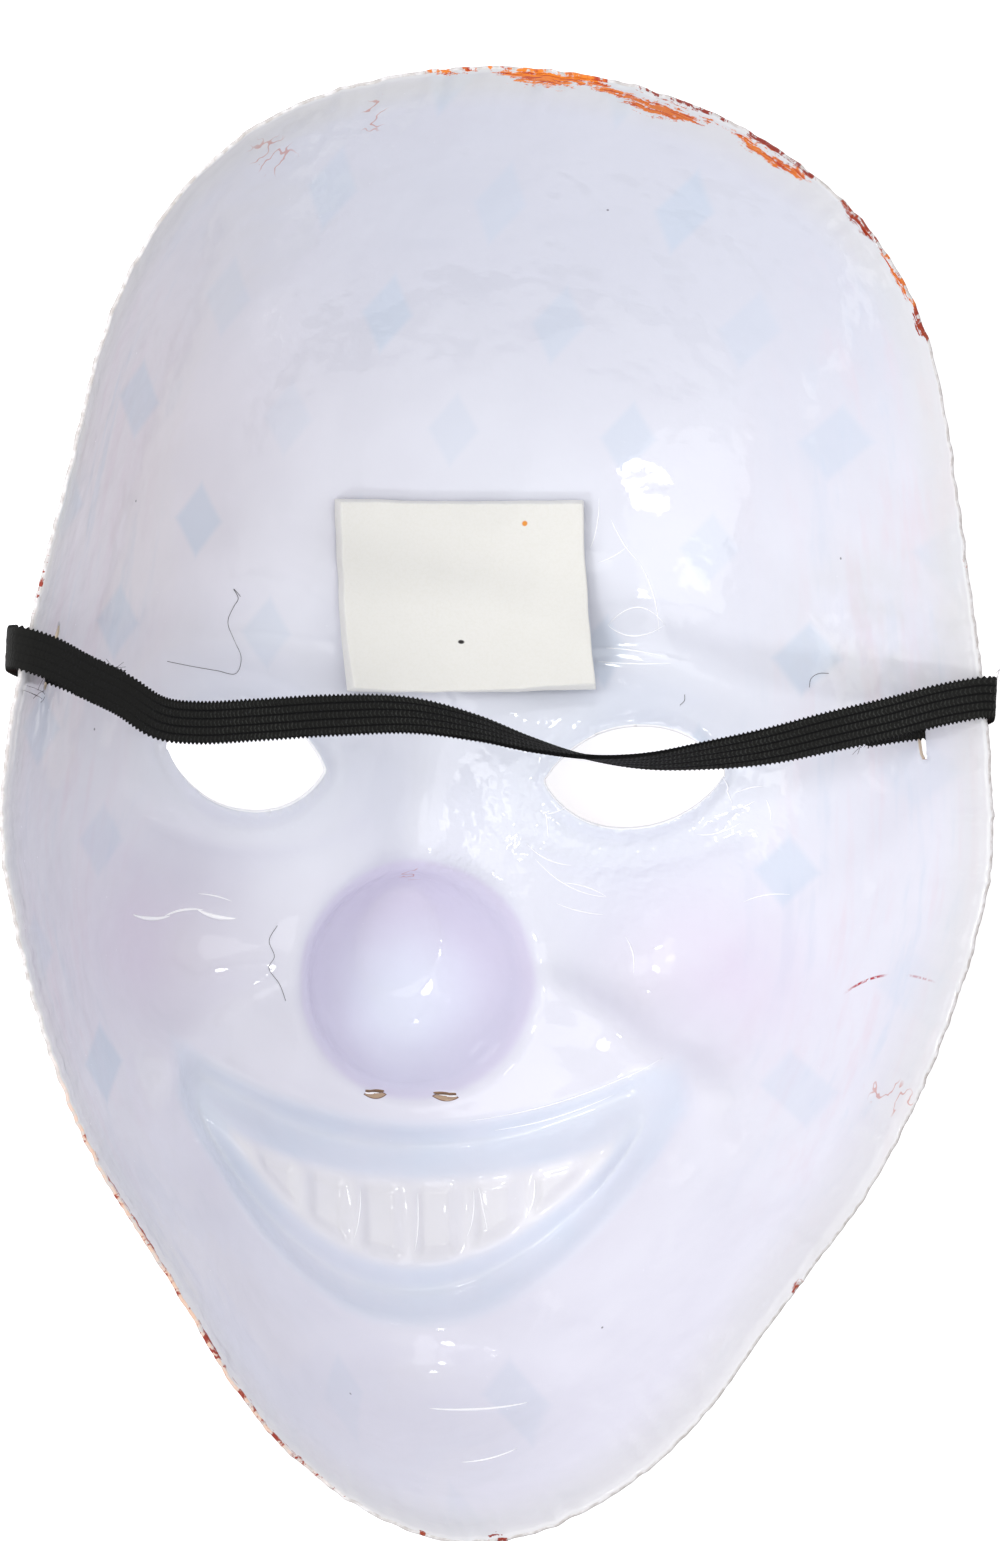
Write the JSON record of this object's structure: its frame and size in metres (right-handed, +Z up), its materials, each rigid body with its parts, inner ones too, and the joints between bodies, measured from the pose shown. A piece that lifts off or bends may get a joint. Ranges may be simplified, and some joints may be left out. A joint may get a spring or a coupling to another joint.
{
  "type": "clown mask",
  "caption": "Thin formed plastic clown mask with ball nose, eye holes, toothy smile, foam forehead pad and elastic band, lying face down.",
  "frame": {"origin": "on the surface that the mask lies on, under the middle of the shell and pad's bounding box", "axes": "+Y towards the forehead, +Z up out of the open hollow, +X to the right of someone who looks down into the hollow with the forehead away from them"},
  "size_m": [0.1722, 0.24, 0.1114],
  "materials": {
    "shell_plastic": "gloss",
    "foam": "matte",
    "elastic": "matte"
  },
  "bodies": {
    "root": {"mask_shell": "shell_plastic", "forehead_pad": "foam", "elastic_band": "elastic"}
  },
  "joints": []
}
